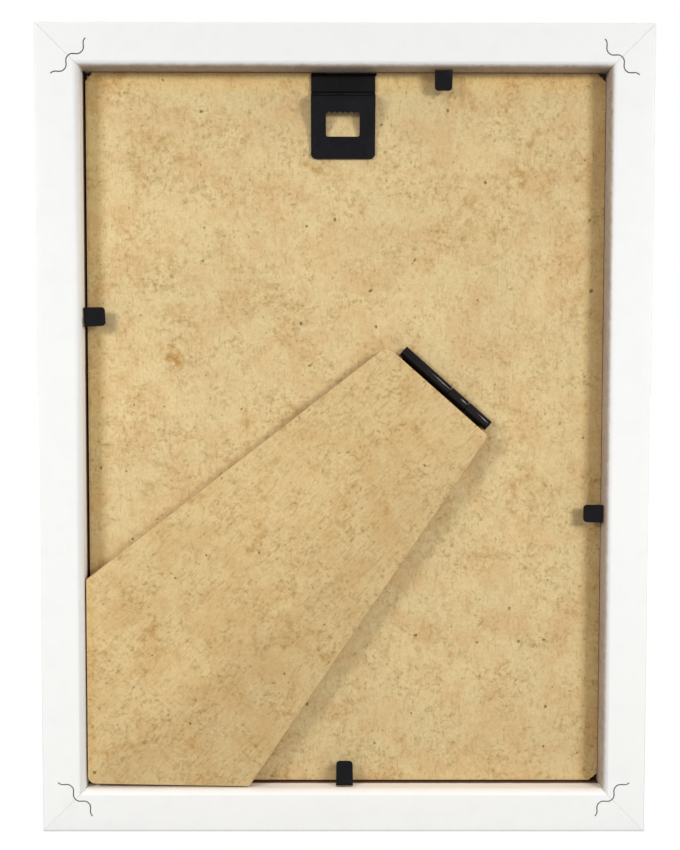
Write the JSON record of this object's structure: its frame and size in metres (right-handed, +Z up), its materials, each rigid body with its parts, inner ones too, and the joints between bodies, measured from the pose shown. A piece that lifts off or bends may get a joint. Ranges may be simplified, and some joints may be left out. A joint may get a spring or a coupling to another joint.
{
  "type": "picture frame",
  "caption": "Upright rectangular photo frame with mitred rails, glass, a backboard held by bend-out tabs, a hanger plate and a fold-out easel leg on a diagonal hinge.",
  "frame": {"origin": "middle of the bottom rail's underside, on the surface the frame stands on", "axes": "+Z up along the frame's height, +Y out of the frame's back, +X to the right seen from the front"},
  "size_m": [0.154, 0.0148, 0.204],
  "materials": {
    "white_paint": "smooth white paint on fibreboard, satin",
    "bare_mdf": "bare fibreboard, matte, fine fibre mottling",
    "black_steel": "thin sheet steel, glossy bluish black",
    "grey_steel": "dull zinc-grey steel",
    "white_paper": "blank white paper, matte",
    "clear_glass": "clear float glass, polished"
  },
  "bodies": {
    "frame": {"rail_top": "white_paint", "rail_bottom": "white_paint", "rail_left": "white_paint", "rail_right": "white_paint", "corner_fastener_1": "grey_steel", "corner_fastener_2": "grey_steel", "corner_fastener_3": "grey_steel", "corner_fastener_4": "grey_steel", "glass": "clear_glass", "picture_sheet": "white_paper", "backboard": "bare_mdf", "hinge_fixed_leaf": "black_steel", "hinge_pin": "black_steel", "hanger_clip": "black_steel", "tab_bottom_root": "black_steel", "tab_right_root": "black_steel", "tab_top_root": "black_steel", "tab_left_root": "black_steel"},
    "easel_leg": {"leg": "bare_mdf", "hinge_moving_leaf": "black_steel"},
    "hanger": {"hanger_plate": "black_steel"},
    "tab_bottom": {"tab_bottom_blade": "black_steel"},
    "tab_right": {"tab_right_blade": "black_steel"},
    "tab_top": {"tab_top_blade": "black_steel"},
    "tab_left": {"tab_left_blade": "black_steel"}
  },
  "joints": [
    {"name": "leg_swing", "type": "hinge", "parent": "frame", "child": "easel_leg", "pos_m": [-0.02568, 0.00345, 0.11342], "axis": [0.7501, 0, 0.6613], "range_deg": [0, 30]},
    {"name": "hanger_bend", "type": "hinge", "parent": "frame", "child": "hanger", "pos_m": [0.0005, 0.00225, 0.1876], "axis": [1, 0, 0], "range_deg": [0, 25]},
    {"name": "tab_bottom_bend", "type": "hinge", "parent": "frame", "child": "tab_bottom", "pos_m": [-0.00013, 0.00525, 0.0115], "axis": [-1, 0, 0], "range_deg": [0, 100]},
    {"name": "tab_right_bend", "type": "hinge", "parent": "frame", "child": "tab_right", "pos_m": [-0.0655, 0.00525, 0.0816], "axis": [0, 0, 1], "range_deg": [0, 100]},
    {"name": "tab_top_bend", "type": "hinge", "parent": "frame", "child": "tab_top", "pos_m": [-0.0246, 0.00525, 0.1925], "axis": [1, 0, 0], "range_deg": [0, 100]},
    {"name": "tab_left_bend", "type": "hinge", "parent": "frame", "child": "tab_left", "pos_m": [0.0655, 0.00525, 0.13123], "axis": [-0.0523, 0, -0.9986], "range_deg": [0, 100]}
  ]
}
